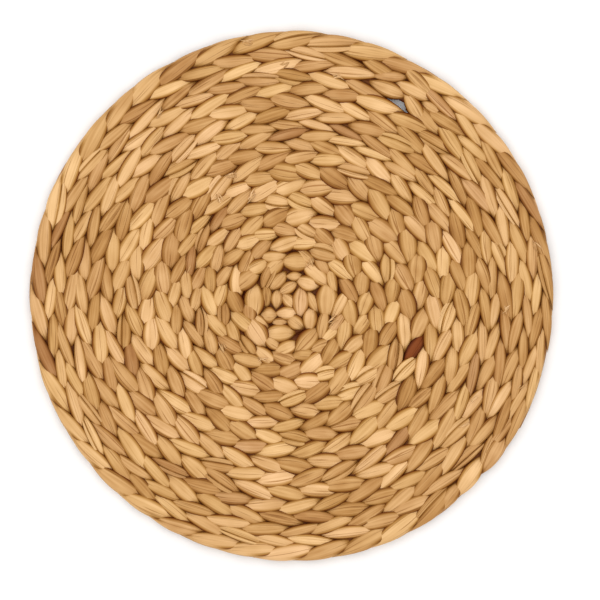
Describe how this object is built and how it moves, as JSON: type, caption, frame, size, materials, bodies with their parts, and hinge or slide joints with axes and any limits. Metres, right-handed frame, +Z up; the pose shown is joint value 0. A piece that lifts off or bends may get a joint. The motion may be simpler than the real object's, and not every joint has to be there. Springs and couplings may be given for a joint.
{
  "type": "round plaited water hyacinth charger mat",
  "caption": "Round flat charger mat of one thick three-strand straw plait, coiled from the centre and stitched edge to edge, with a chevron relief.",
  "frame": {"origin": "centre of the underside's bounding box, on the table", "axes": "+Z up out of the patterned face; +X to the right and +Y away from the viewer in the top view"},
  "size_m": [0.328, 0.3316, 0.01],
  "materials": {
    "water_hyacinth": "dry satin straw, wrinkled lengthwise, pale gold to brown"
  },
  "bodies": {
    "root": {"coiled_plait": "water_hyacinth"}
  },
  "joints": []
}
